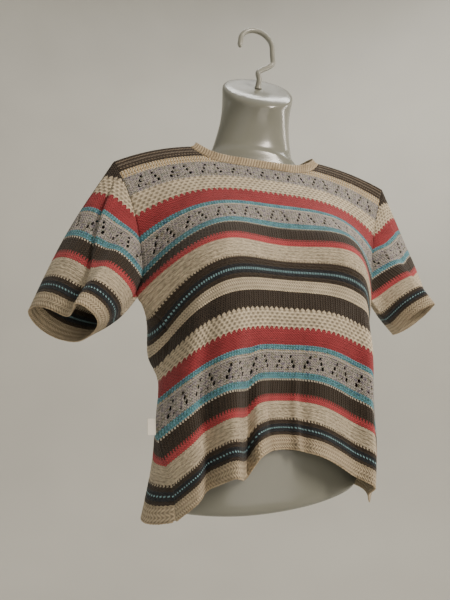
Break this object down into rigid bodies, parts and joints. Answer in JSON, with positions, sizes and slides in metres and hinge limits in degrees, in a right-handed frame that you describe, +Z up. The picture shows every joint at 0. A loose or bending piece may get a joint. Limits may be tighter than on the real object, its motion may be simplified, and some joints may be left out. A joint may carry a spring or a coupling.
{
  "type": "cropped striped knit top on a hanging torso form",
  "caption": "Short-sleeved cropped striped knit top with lace bands, worn on a grey limbless hanging torso form with a hook.",
  "frame": {"origin": "inner top of the hook's arc, where the rail that carries it touches it", "axes": "+Z up, -Y the front, -X the wearer's right side"},
  "size_m": [0.6842, 0.1935, 0.8106],
  "materials": {
    "knit": "knitted cotton-like yarn in stripes",
    "label": "plain woven label",
    "form": "smooth semi-gloss",
    "hook": "smooth semi-gloss"
  },
  "bodies": {
    "root": {"front_panel": "knit", "back_panel": "knit", "right_sleeve_front": "knit", "right_sleeve_back": "knit", "left_sleeve_front": "knit", "left_sleeve_back": "knit", "neckband": "knit", "side_label": "label", "torso_form": "form", "hook": "hook"}
  },
  "joints": []
}
